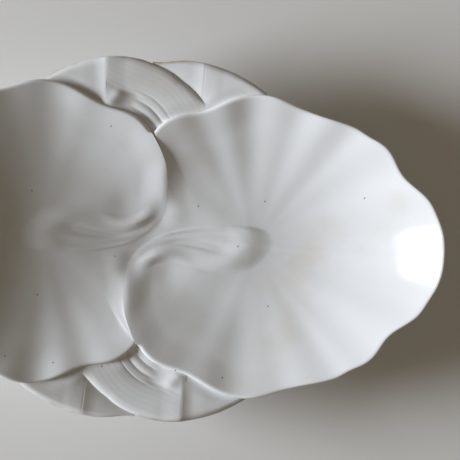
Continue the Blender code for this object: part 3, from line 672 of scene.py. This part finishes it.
@functools.cache
def leaf_section(bearing, radius):
    """(inner surface height, underside height) of the right leaf at this bearing and distance."""
    reach = leaf_reach(bearing)
    share = radius / reach
    curve = bowl_curve(bearing)
    shell = bowl_height(bearing, radius) + flute(bearing, share)
    slope = curve * (edge_height(bearing) - WELL_FLOOR) / reach * share ** (curve - 1.0)
    top = shell + lobe_rise(bearing, reach - radius) + midrib(bearing, radius)
    if under_left_leaf(bearing):
        top += seam_relief(bearing, radius)
    x, y = from_petiole(bearing, radius)
    inset = visible_reach(bearing) - radius
    top += uneven(x, y) * smooth_step(inset / WAVINESS_FADE)
    top -= channel(x, y) + lobe_hollow(x, y)
    return top, shell - WALL * math.hypot(1.0, slope)


def stem_seat(x, y):
    """Surface of the right leaf at this point, or at its edge where the point lies past it."""
    bearing, radius = polar(x, y)
    return leaf_section(bearing, min(radius, visible_reach(bearing)))[0]


def clear_height(x, y):
    """Height under the leaves, each taken at its edge where the point lies just past it."""
    undersides = []
    for turn in (1.0, -1.0):
        bearing, radius = polar(turn * x, turn * y)
        reach = visible_reach(bearing)
        if radius < reach + FOOT_WALL:
            undersides.append(leaf_section(bearing, min(radius, reach))[1])
    return min(undersides)


def ribbon_height(point):
    """The border's own surface, which the ribbons' relief stands on."""
    return rim_height(point.x, point.y) - BORDER_DROP


# Mesh building

def slab(columns, rows, top, bottom):
    """A closed solid between two surfaces over the unit square, each given as a function of (s, t)."""
    bm = bmesh.new()
    bmesh.ops.create_grid(bm, x_segments=columns, y_segments=rows, size=0.5)
    made = bmesh.ops.extrude_face_region(bm, geom=bm.faces[:])
    lower = {v for v in made["geom"] if isinstance(v, bmesh.types.BMVert)}
    for vertex in bm.verts:
        s, t = vertex.co.x + 0.5, vertex.co.y + 0.5
        vertex.co = bottom(s, t) if vertex in lower else top(s, t)
    return bm


def mesh_from(name, bm):
    """A smooth-shaded mesh with sharp creases where the surface turns fast."""
    bmesh.ops.recalc_face_normals(bm, faces=bm.faces)
    mesh = bpy.data.meshes.new(name)
    bm.to_mesh(mesh)
    bm.free()
    mesh.shade_smooth()
    mesh.set_sharp_from_angle(angle=math.radians(SMOOTH_ANGLE))
    return mesh


def piece(node, mesh, material):
    """A piece that stands for this node of the frame."""
    obj = bpy.data.objects.new(node + "_glazed", mesh)
    bpy.context.scene.collection.objects.link(obj)
    mesh.materials.append(material)
    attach(obj, "root")
    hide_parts(node)


def pair(node, turned_node, bm, material):
    """The piece and its twin on the other side of the dish."""
    mesh = mesh_from(node, bm)
    twin = mesh.copy()
    twin.transform(Matrix.Rotation(math.pi, 4, "Z"))
    twin.name = turned_node
    piece(node, mesh, material)
    piece(turned_node, twin, material)


# Leaves

def leaf_rings():
    """The leaf from the middle of its inner face, over its lip, to the middle of its underside.

    Each ring is (share of the way to the lip, inset from the edge as a share of the lip, fall as a share
    of the lip, whether it lies on the underside).
    """
    def lip_ring(angle, under):
        turn = math.radians(angle)
        return 1.0, 1.0 - math.sin(turn), 1.0 - math.cos(turn), under

    def spread(count, curve):
        return [1.0 - (1.0 - step / count) ** curve for step in range(1, count + 1)]

    lip = [90.0 * step / LIP_RINGS for step in range(1, LIP_RINGS + 1)]
    rings = [(share, 1.0, 0.0, False) for share in spread(LEAF_TOP_RINGS, LEAF_TOP_CROWDING)]
    rings += [lip_ring(angle, False) for angle in lip]
    rings += [lip_ring(angle, True) for angle in reversed(lip)]
    under = spread(LEAF_UNDER_RINGS, LEAF_UNDER_CROWDING)
    rings += [(share, 1.0, 0.0, True) for share in reversed(under)]
    return rings


def leaf_lip(bearing):
    """Radius of the edge: sharp where it is covered, and small where the leaves meet level."""
    if bearing > COVERED_FROM:
        return LIP * max(LIP_SHARP, 1.0 - (bearing - COVERED_FROM) / LIP_FADE)
    if bearing < -COVERED_FROM:
        y = from_petiole(bearing, leaf_reach(bearing))[1]
        return LIP_SHARP * LIP + (LOBE_RISE + SEAM_RISE - SEAM_ROLL - SEAM_FILLET) * seam_step(y)
    return LIP


def leaf_solid():
    """A globe whose poles are the middle of the leaf and whose parallels become the rings above."""
    rings = leaf_rings()
    bm = bmesh.new()
    bmesh.ops.create_uvsphere(bm, u_segments=LEAF_COLUMNS, v_segments=len(rings) + 1, radius=1.0)
    for vertex in bm.verts:
        latitude = math.acos(min(max(vertex.co.z, -1.0), 1.0)) / math.pi
        index = round(latitude * (len(rings) + 1)) - 1
        bearing, radius, fall, under, lip = 0.0, 0.0, 0.0, index > 0, LIP
        if 0 <= index < len(rings):
            bearing = column_bearing(math.degrees(math.atan2(vertex.co.y, vertex.co.x)))
            share, inset, fall, under = rings[index]
            reach = visible_reach(bearing)
            lip = leaf_lip(bearing)
            radius = share * (reach - lip) if share < 1.0 else reach - lip * inset
        top, underside = leaf_section(bearing, radius)
        height = underside + lip * fall if under else top - lip * fall
        vertex.co = (*from_petiole(bearing, radius), height)
    return bm


# Stems

def fluted_section(width, past_end):
    """(distance from the upper edge, height) points across the stem, this far past its swollen end."""
    ridge = STEM_HEIGHT + STEM_SWELL * (1.0 - smooth_step(past_end / STEM_SWELL_WIDTH))
    scoop = STEM_SCOOP * smooth_step(past_end / STEM_SCOOP_FADE)
    toe, toe_share = STEM_TOE
    upper, middle, lower = STEM_RIDGES
    narrow, broad = STEM_HOLLOWS
    return (
        (-STEM_FOOT, 0.0),
        (toe * width, toe_share * ridge),
        (upper * width, ridge),
        (narrow * width, ridge - STEM_SCOOP_SHARE * scoop),
        (middle * width, ridge),
        (broad * width, ridge - scoop),
        (lower * width, ridge),
        (width + STEM_SKIRT, 0.0),
    )


def strap_section(width):
    """The same across the strap: a low rib and the turned-up lip of the lobe."""
    rib, groove, lip = STRAP_PLACES
    return (
        (0.0, 0.0),
        (rib * width, STRAP_RIDGE),
        (groove * width, STRAP_RIDGE - STRAP_GROOVE),
        (lip * width, STRAP_LIP),
        (lip * width + STRAP_LIP_SLOPE, 0.0),
    )


def stem_solid():
    """The right stem, laid on the leaf and trimmed at the seam."""
    line = stem_line(STEM_COLUMNS + 1)
    run = [0.0]
    for near, far in zip(line, line[1:]):
        run.append(run[-1] + (far - near).length)

    def to_seam(point):
        bearing, radius = polar(point.x, point.y)
        return visible_reach(bearing) - radius

    @functools.cache
    def edges(index):
        """The upper edge, the direction across, and the section's ends, trimmed to the leaf below."""
        width = stem_width(index / STEM_COLUMNS)
        ahead = line[min(index + 1, STEM_COLUMNS)] - line[max(index - 1, 0)]
        across = ahead.orthogonal().normalized()
        upper = line[index] - across * width / 2.0
        start = bisect(lambda inset: to_seam(upper + across * inset) > JOINT, -STEM_FOOT, width / 2.0)
        foot = max(fluted_section(width, 0.0)[-1][0], strap_section(width)[-1][0])
        return upper, across, start, foot

    def plan(s, t):
        upper, across, start, foot = edges(round(s * STEM_COLUMNS))
        return upper + across * (start + (foot - start) * t)

    def over(point, height):
        return point.to_3d() + Vector((0.0, 0.0, stem_seat(*point) + height))

    def nearest(point):
        """Index of the line's point whose section this plan point lies on."""
        return min(range(STEM_COLUMNS + 1), key=lambda index: math.dist(line[index], point))

    def crest(s, t):
        point = plan(s, t)
        index = nearest(point)
        upper, across, start, _ = edges(index)
        inset = (point - upper).dot(across)
        s = index / STEM_COLUMNS
        width = stem_width(s)
        aside = 2.0 * inset / width - 1.0
        distance = max(0.0, run[index] - STEM_END_CURVE * aside * aside)
        strap = strap_share(s)
        height = (1.0 - strap) * through(fluted_section(width, distance - STEM_FALL), inset)
        rib = through(strap_section(width), max(inset, 0.0))
        height += strap * rib * smooth_step(2.0 * (inset - start) / width)
        ends = smooth_step(distance / STEM_FALL) * smooth_step((1.0 - s) / STRAP_RUN_OUT)
        return over(point, height * ends)

    def under(s, t):
        return over(plan(s, t), -STEM_EDGE)

    return slab(STEM_COLUMNS, STEM_ROWS, crest, under)


# Border ribbons

def rim_fall(point):
    """Fall of the rolled rim along the dish's long side."""
    return roll(rim_inset(point), RIM_ROLL, RIM_FALL)


def ribbon_solid(grid, plan, relief, start_drop=0.0):
    """A ribbon over the plan patch, its surface standing by relief over the border's own surface.

    The underside lies lower by start_drop at the patch's start, and the rim is marked for a brown line
    that is partly worn glaze and partly painted shade of the rolled rim.
    """
    def crest(s, t):
        point = plan(s, t)
        height = ribbon_height(point) + relief(s, t, point)
        height += pooled(leaf_distance(point)) + uneven(point.x, point.y)
        return point.to_3d() + Vector((0.0, 0.0, height))

    def under(s, t):
        point = plan(s, t)
        height = ribbon_height(point) - WALL + roll(rim_inset(point), LIP, WALL - RIM_FALL - RIM_EDGE)
        return point.to_3d() + Vector((0.0, 0.0, height - start_drop * (1.0 - s)))

    bm = slab(*grid, crest, under)
    # Mask of the brown rim line: partly worn glaze, partly painted shade of the rolled rim
    rim_wear_and_shade_mask = bm.verts.layers.float.new("rim_wear_and_shade_mask")
    for vertex in bm.verts:
        vertex[rim_wear_and_shade_mask] = smooth_step(1.0 - rim_inset(vertex.co) / RIM_WEAR_AND_SHADE_WIDTH)
    return bm


def border_patch(grid, start, stop, low, corner=None):
    """Plan of a ribbon that reaches the rim, from the share low of the border's width outwards.

    The nearest column of the grid is moved to the corner, where there is one.
    """
    def plan(s, t):
        along = start + (stop - start) * s
        if corner is not None and abs(along - corner) < 0.5 * (stop - start) / grid[0]:
            along = corner
        return border_point(along, low(along) + (1.0 - low(along)) * t)

    return plan


def lobe_patch(inner, outer):
    """Plan of a ribbon that follows the left leaf's edge, from under the fold to under the right leaf."""
    def at(bearing, t):
        return lobe_point(bearing, inner + (outer(bearing) - inner) * t)

    @functools.cache
    def ends(t):
        start = bisect(lambda bearing: right_of_fold(at(bearing, t)) > -LAP, BORDER_SPAN, 0.0)
        return start, bisect(lambda bearing: in_right_leaf(*at(bearing, t), -LAP), start, 0.0)

    def plan(s, t):
        start, stop = ends(t)
        return at(start + (stop - start) * s, t)

    return plan


def crown(t, point):
    """Rounded back of a ribbon, which flattens towards the leaves."""
    rise = RIBBON_CROWN * (1.0 - abs(2.0 * t - 1.0) ** CROWN_CURVE)
    return rise * smooth_step(leaf_distance(point) / CROWN_CALM)


def fold_share(point):
    """Share of a fold's height, which is least beside the leaves."""
    return FOLD_SHARE + (1.0 - FOLD_SHARE) * smooth_step(leaf_distance(point) / FOLD_SHARE_WIDTH)


def fold(inset, lift):
    """Rise of a ribbon towards the fold at its end."""
    return lift * max(0.0, 1.0 - inset / FOLD_RAMP) ** 2 - roll(inset, FOLD_ROLL, FOLD_EDGE)


def past_fold(distance, lift):
    """Fall of the next ribbon away from a fold, and its dive under the fold."""
    fall = (lift - FOLD_EDGE) * (1.0 - smooth_step(distance / FOLD_FALL))
    return fall + FOLD_DIVE * min(distance, 0.0)


def wrap_step(point):
    """Height of the wrapped ribbon's edge, which dies away towards the leaves."""
    return WRAP_STEP * smooth_step(leaf_distance(point) / WRAP_STEP_FADE)


def tucked(point):
    """Fall of a ribbon beside the wrapped one, which lies over it."""
    bearing, offset = lobe_polar(point)
    return wrap_step(point) * math.exp(-max(0.0, offset - wrap_offset(bearing)) / WRAP_STEP_REACH)


def streaks(distance):
    """Fine lines that run along a ribbon."""
    return STREAK_DEPTH * math.cos(2.0 * math.pi * distance / STREAK_PITCH)


def reeds(s, t):
    """A bump at the fold, a hollow, and then reeds along the leaf's edge."""
    grow, fade = REED_BUMP_SIDES
    bump = REED_BUMP * math.exp(-(((s - REED_BUMP_PLACE - REED_BUMP_SKEW * t) / REED_BUMP_LENGTH) ** 2))
    bump *= smooth_step(t / grow) * smooth_step((1.0 - t) / fade)
    inside = smooth_step((1.0 - t) / REED_SIDE)
    hollow = REED_HOLLOW * math.exp(-(((s - REED_HOLLOW_PLACE) / REED_HOLLOW_LENGTH) ** 2))
    drop = REED_DROP * inside + REED_GROOVE * (1.0 - smooth_step(t / REED_SIDE))
    wave = abs(math.sin(math.pi * REED_COUNT * t)) - REED_LEVEL
    wave *= REED_DEPTH * smooth_step((s - REED_START) / REED_GROWTH)
    return bump - hollow * inside - drop * smooth_step(s / REED_DROP_GROWTH) + wave


def tuck_start():
    """Where the ribbon between the wrap and the rim is as narrow as a border's tip."""
    def is_narrow(along):
        width = (border_outer(along) - border_inner(along)).length
        return (1.0 - wrap_edge(along)) * width < BORDER_TIP_WIDTH

    return bisect(is_narrow, FOLD, -FOLD)


def border_ribbons():
    """The ribbons of the back border, by name."""
    tail_length = (1.0 - FOLD) * BORDER_HALF_LENGTH
    start = tuck_start()
    tuck_length = (FOLD - start) * BORDER_HALF_LENGTH
    end_length = tail_length + LAP
    wrap_corner = bisect(lambda along: wrap_edge(along) == 0.0, FOLD, 1.0)

    def tail(s, t, point):
        lift = fold((1.0 - s) * tail_length, TAIL_LIFT) * fold_share(point)
        back = crown(t, point) * smooth_step((1.0 - s) / CROWN_FADE)
        return back + lift - TAIL_DROP * (1.0 - s) + streaks(rim_inset(point)) - rim_fall(point)

    def wrap(s, t, point):
        bearing, offset = lobe_polar(point)
        edge = roll(wrap_offset(bearing) - offset, WRAP_ROLL, wrap_step(point))
        lift = past_fold(right_of_fold(point), TAIL_LIFT) * fold_share(point)
        back = crown(t, point) * smooth_step(s / CROWN_GROWTH)
        return back + lift + streaks(offset) - max(edge, rim_fall(point))

    def reed(s, t, point):
        return reeds(s, t) + past_fold(right_of_fold(point), TAIL_LIFT) * fold_share(point)

    def tuck(s, t, point):
        lift = fold((1.0 - s) * tuck_length, TUCK_LIFT) * fold_share(point)
        return lift + streaks(rim_inset(point)) - max(tucked(point), rim_fall(point))

    def end(s, t, point):
        lift = past_fold(s * end_length - LAP, TUCK_LIFT) * fold_share(point)
        back = crown(t, point) * smooth_step(s / CROWN_GROWTH)
        return back + lift + streaks(rim_inset(point)) - max(tucked(point), rim_fall(point))

    def under_wrap(along):
        return max(0.0, wrap_edge(along) - LAP / BORDER_BULGE / 2.0)

    tail_plan = border_patch(TAIL_GRID, -1.0, -FOLD, lambda along: 0.0)
    wrap_plan = lobe_patch(REED_WIDTH, wrap_limit)
    reed_plan = lobe_patch(-LAP, lambda bearing: REED_WIDTH)
    tuck_plan = border_patch(TUCK_GRID, start, FOLD, under_wrap)
    end_plan = border_patch(END_GRID, FOLD - LAP / BORDER_HALF_LENGTH, 1.0, under_wrap, wrap_corner)
    return {
        "border_tail": ribbon_solid(TAIL_GRID, tail_plan, tail, TAIL_DROP),
        "border_wrap": ribbon_solid(WRAP_GRID, wrap_plan, wrap),
        "border_reed": ribbon_solid(REED_GRID, reed_plan, reed),
        "border_tuck": ribbon_solid(TUCK_GRID, tuck_plan, tuck),
        "border_end": ribbon_solid(END_GRID, end_plan, end),
    }


# Foot

def foot_solid():
    """An oval ring with rounded corners, a tapered wall and a flat tread."""
    tube = 0.25  # radius of the torus that is reshaped, whose ring has a radius of 1
    bpy.ops.mesh.primitive_torus_add(
        major_segments=FOOT_COLUMNS, minor_segments=FOOT_ROWS, major_radius=1.0, minor_radius=tube
    )
    torus = bpy.context.object
    bm = bmesh.new()
    bm.from_mesh(torus.data)
    bpy.data.meshes.remove(torus.data)
    for vertex in bm.verts:
        around = math.atan2(vertex.co.y, vertex.co.x)
        outward = (math.hypot(vertex.co.x, vertex.co.y) - 1.0) / tube
        level = 0.5 + 0.5 * min(max(FOOT_SQUARENESS * vertex.co.z / tube, -1.0), 1.0)
        width = FOOT_TREAD + (FOOT_WALL - FOOT_TREAD) * min(1.0, 2.0 * level)
        offset = width / 2.0 * min(max(FOOT_SQUARENESS * outward, -1.0), 1.0)
        x = (FOOT_HALF_LENGTH + offset) * math.cos(around)
        y = (FOOT_HALF_WIDTH + offset) * math.sin(around)
        vertex.co = (x, y, level * clear_height(x, y))
    return bm


# Materials

def new_material(name):
    """A material with its nodes and links."""
    material = bpy.data.materials.new(name)
    material.use_nodes = True
    return material, material.node_tree.nodes, material.node_tree.links


def ramp(nodes, links, value, stops):
    """A colour ramp over this value, with (place, colour) stops."""
    node = nodes.new("ShaderNodeValToRGB")
    elements = node.color_ramp.elements
    for element, (place, colour) in zip(elements, stops):
        element.position = place
        element.color = (*colour, 1.0)
    for place, colour in stops[len(elements):]:
        elements.new(place).color = (*colour, 1.0)
    links.new(value, node.inputs["Fac"])
    return node.outputs["Color"]


def noise_value(nodes, links, place, scale, detail):
    """Cloudy values between 0 and 1 over the surface."""
    node = nodes.new("ShaderNodeTexNoise")
    node.inputs["Scale"].default_value = scale
    node.inputs["Detail"].default_value = detail
    links.new(place, node.inputs["Vector"])
    return node.outputs["Fac"]


def blend(nodes, links, kind, factor, below, above):
    """Lays one colour over another; the factor is a number or another node's value."""
    node = nodes.new("ShaderNodeMixRGB")
    node.blend_type = kind
    if isinstance(factor, float):
        node.inputs["Fac"].default_value = factor
    else:
        links.new(factor, node.inputs["Fac"])
    links.new(below, node.inputs["Color1"])
    links.new(above, node.inputs["Color2"])
    return node.outputs["Color"]


def pits(nodes, links, place):
    """A few dark pits: white where the glaze is whole."""
    cells = nodes.new("ShaderNodeTexVoronoi")
    cells.voronoi_dimensions = "2D"
    cells.inputs["Scale"].default_value = PIT_CELLS
    links.new(place, cells.inputs["Vector"])
    spot = ramp(nodes, links, cells.outputs["Distance"], ((0.008, PIT_COLOUR), (0.016, WHITE)))
    rare = ramp(nodes, links, cells.outputs["Color"], ((0.60, WHITE), (0.62, BLACK)))
    return blend(nodes, links, "LIGHTEN", 1.0, spot, rare)


def rim_wear_and_shade(nodes, links, place):
    """Where the rim is painted brown, in patches: partly worn glaze, partly painted shade of the rolled
    rim.
    """
    mark = nodes.new("ShaderNodeAttribute")
    mark.attribute_name = "rim_wear_and_shade_mask"
    cloud = noise_value(nodes, links, place, *PATCH_NOISE)
    patches = ramp(nodes, links, cloud, ((0.42, BLACK), (0.58, WHITE)))
    return blend(nodes, links, "MULTIPLY", 1.0, mark.outputs["Color"], patches)


def glaze_colour(nodes, links, place):
    """White glaze, thinner and thicker in places, with pits, a few faint stains and a brown rim line that
    is partly worn glaze and partly painted shade.
    """
    thickness = noise_value(nodes, links, place, *THICKNESS_NOISE)
    body = ramp(nodes, links, thickness, ((0.30, GLAZE_WARM), (0.70, GLAZE_COOL)))
    blotches = noise_value(nodes, links, place, *BLOTCH_NOISE)
    stain = ramp(nodes, links, blotches, ((0.62, WHITE), (0.80, STAIN_COLOUR)))
    stained = blend(nodes, links, "MULTIPLY", 1.0, body, stain)
    pitted = blend(nodes, links, "MULTIPLY", 1.0, stained, pits(nodes, links, place))
    # Brown of the rim line: partly worn glaze, partly painted shade of the rolled rim
    grain = noise_value(nodes, links, place, *RIM_WEAR_AND_SHADE_NOISE)
    brown = ramp(nodes, links, grain, ((0.3, RIM_WEAR_AND_SHADE_DARK), (0.7, RIM_WEAR_AND_SHADE_LIGHT)))
    return blend(nodes, links, "MIX", rim_wear_and_shade(nodes, links, place), pitted, brown)


def add_bump(nodes, links, shader, height, strength, distance):
    """Fine roughness under the light, too small to model."""
    bump = nodes.new("ShaderNodeBump")
    bump.inputs["Strength"].default_value = strength
    bump.inputs["Distance"].default_value = distance
    links.new(height, bump.inputs["Height"])
    links.new(bump.outputs["Normal"], shader.inputs["Normal"])


def glaze_material():
    """Glossy white glaze, whose gloss varies a little, over the faint ripples of a fired glaze."""
    material, nodes, links = new_material("white_glaze")
    shader = nodes["Principled BSDF"]
    place = nodes.new("ShaderNodeTexCoord").outputs["Object"]
    links.new(glaze_colour(nodes, links, place), shader.inputs["Base Color"])
    cloud = noise_value(nodes, links, place, *GLOSS_NOISE)
    gloss = ramp(nodes, links, cloud, ((0.3, GLOSS_LOW), (0.7, GLOSS_HIGH)))
    links.new(gloss, shader.inputs["Roughness"])
    shader.inputs["IOR"].default_value = GLAZE_IOR
    ripples = noise_value(nodes, links, place, *RIPPLE_NOISE)
    add_bump(nodes, links, shader, ripples, *RIPPLE_BUMP)
    return material


def clay_material():
    """Glazed sides, and bare clay on the tread and a little way up from it."""
    material, nodes, links = new_material("bare_clay")
    shader = nodes["Principled BSDF"]
    place = nodes.new("ShaderNodeTexCoord").outputs["Object"]
    parts = nodes.new("ShaderNodeSeparateXYZ")
    links.new(place, parts.inputs["Vector"])
    height = nodes.new("ShaderNodeMapRange")
    height.inputs["From Min"].default_value = TREAD_BARE_FROM
    height.inputs["From Max"].default_value = TREAD_BARE_TO
    links.new(parts.outputs["Z"], height.inputs["Value"])
    grain = noise_value(nodes, links, place, *CLAY_NOISE)
    bare = ramp(nodes, links, grain, ((0.35, CLAY_DARK), (0.65, CLAY_LIGHT)))
    glaze = glaze_colour(nodes, links, place)
    glazed = height.outputs["Result"]
    links.new(blend(nodes, links, "MIX", glazed, bare, glaze), shader.inputs["Base Color"])
    gloss = ramp(nodes, links, glazed, ((0.3, BARE_GLOSS), (0.8, GLOSS_LOW)))
    links.new(gloss, shader.inputs["Roughness"])
    add_bump(nodes, links, shader, grain, *CLAY_BUMP)
    return material


# Stage

def add_floor():
    """A plain pale floor."""
    mesh = bpy.data.meshes.new("floor")
    bm = bmesh.new()
    bmesh.ops.create_grid(bm, x_segments=1, y_segments=1, size=FLOOR_HALF_SIZE)
    bm.to_mesh(mesh)
    bm.free()
    floor = bpy.data.objects.new("floor", mesh)
    bpy.context.scene.collection.objects.link(floor)
    material, nodes, _ = new_material("floor")
    shader = nodes["Principled BSDF"]
    shader.inputs["Base Color"].default_value = (*FLOOR_COLOUR, 1.0)
    shader.inputs["Roughness"].default_value = FLOOR_ROUGHNESS
    shader.inputs["Specular IOR Level"].default_value = FLOOR_SPECULAR
    mesh.materials.append(material)


def add_camera():
    """Looks straight down, over the right half of the dish."""
    data = bpy.data.cameras.new("camera")
    data.sensor_width = SENSOR_WIDTH
    data.lens = LENS
    camera = bpy.data.objects.new("camera", data)
    bpy.context.scene.collection.objects.link(camera)
    turn = Matrix.Rotation(math.radians(CAMERA_TURN), 4, "Z")
    camera.matrix_world = Matrix.Translation(CAMERA_PLACE) @ turn
    bpy.context.scene.camera = camera


def add_area(name, azimuth, elevation, distance, size, power, colour):
    """A soft lamp aimed at the dish, placed by its bearing from +X and its height above the floor."""
    data = bpy.data.lights.new(name, "AREA")
    data.shape = "ELLIPSE"
    data.size, data.size_y = size
    data.energy = power
    data.color = colour
    lamp = bpy.data.objects.new(name, data)
    bpy.context.scene.collection.objects.link(lamp)
    flat = math.cos(math.radians(elevation))
    away = Vector((
        flat * math.cos(math.radians(azimuth)),
        flat * math.sin(math.radians(azimuth)),
        math.sin(math.radians(elevation)),
    ))
    aim = away.to_track_quat("Z", "Y").to_matrix().to_4x4()
    lamp.matrix_world = Matrix.Translation(away * distance) @ aim


def add_light():
    """One large soft lamp, low at the left, and the warm dim light of a room."""
    add_area(
        "window",
        azimuth=183.5,
        elevation=17.8,
        distance=2.2,
        size=(1.10, 0.62),
        power=69.0,
        colour=(0.93, 0.98, 1.05),
    )
    world = bpy.data.worlds.new("room")
    bpy.context.scene.world = world
    world.use_nodes = True
    background = world.node_tree.nodes["Background"]
    background.inputs["Color"].default_value = (*ROOM_COLOUR, 1.0)
    background.inputs["Strength"].default_value = 1.0


def main():
    for obj in list(bpy.data.objects):
        bpy.data.objects.remove(obj)
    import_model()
    glaze = glaze_material()
    clay = clay_material()
    pair("leaf_right", "leaf_left", leaf_solid(), glaze)
    pair("stem_right", "stem_left", stem_solid(), glaze)
    for name, ribbon in border_ribbons().items():
        pair("back_" + name, "front_" + name, ribbon, glaze)
    piece("foot_ring", mesh_from("foot_ring", foot_solid()), clay)
    add_floor()
    add_camera()
    add_light()
    bpy.context.scene.view_settings.view_transform = "Standard"


main()
